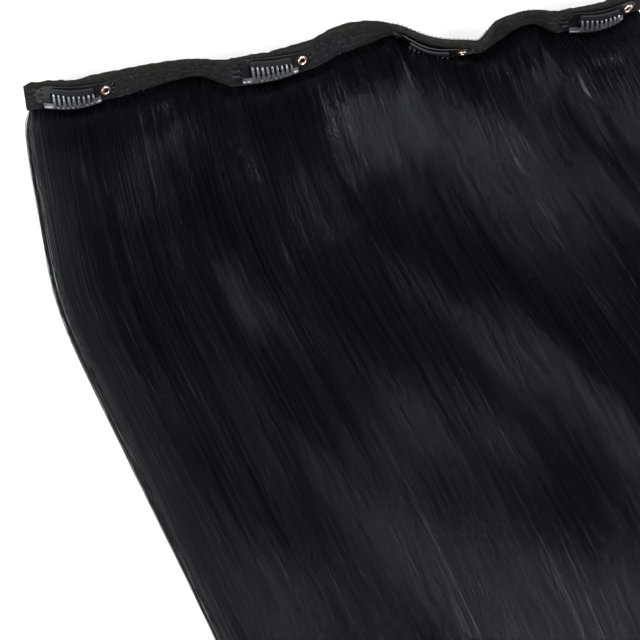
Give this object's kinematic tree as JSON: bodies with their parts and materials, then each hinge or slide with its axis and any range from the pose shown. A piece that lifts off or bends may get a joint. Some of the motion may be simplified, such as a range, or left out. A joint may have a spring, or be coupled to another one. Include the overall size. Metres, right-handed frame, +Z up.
{
  "type": "clip-in hair extension",
  "caption": "Wide curtain of long straight hair on a folded cloth band with snap clips sewn along it, laid out flat with the band standing in soft waves.",
  "frame": {"origin": "below the middle of the whole piece, on the surface that it lies on", "axes": "+Z up, +Y from the tips of the hair towards the band, +X along the band from its left end to its right end"},
  "size_m": [0.334, 0.458, 0.0203],
  "materials": {
    "hair": "glossy straight black hair",
    "band_cloth": "matte black woven tape and lace",
    "clip_metal": "black painted spring steel, semi-gloss",
    "rivet_metal": "bare eyelet, slightly pink silver",
    "grip_pad": "translucent grey silicone"
  },
  "bodies": {
    "weft": {"weft_band": "band_cloth", "hair": "hair", "clip_1_frame": "clip_metal", "clip_1_rivet": "rivet_metal", "clip_1_pad": "grip_pad", "clip_2_frame": "clip_metal", "clip_2_rivet": "rivet_metal", "clip_2_pad": "grip_pad", "clip_3_frame": "clip_metal", "clip_3_rivet": "rivet_metal", "clip_3_pad": "grip_pad", "clip_4_frame": "clip_metal", "clip_4_rivet": "rivet_metal", "clip_4_pad": "grip_pad"},
    "clip_1_teeth": {"clip_1_comb": "clip_metal"},
    "clip_2_teeth": {"clip_2_comb": "clip_metal"},
    "clip_3_teeth": {"clip_3_comb": "clip_metal"},
    "clip_4_teeth": {"clip_4_comb": "clip_metal"}
  },
  "joints": [
    {"name": "clip_1_snap", "type": "hinge", "parent": "weft", "child": "clip_1_teeth", "pos_m": [-0.15044, 0.2099, 0.01054], "axis": [0.9998, 0.0175, 0], "range_deg": [0, 35]},
    {"name": "clip_2_snap", "type": "hinge", "parent": "weft", "child": "clip_2_teeth", "pos_m": [-0.06926, 0.21056, 0.01063], "axis": [0.9925, 0.1219, 0], "range_deg": [0, 35]},
    {"name": "clip_3_snap", "type": "hinge", "parent": "weft", "child": "clip_3_teeth", "pos_m": [-0.00336, 0.21651, 0.00745], "axis": [0.9205, -0.3907, 0], "range_deg": [0, 35]},
    {"name": "clip_4_snap", "type": "hinge", "parent": "weft", "child": "clip_4_teeth", "pos_m": [0.06637, 0.21621, 0.00951], "axis": [0.9848, 0.1736, 0], "range_deg": [0, 35]}
  ]
}
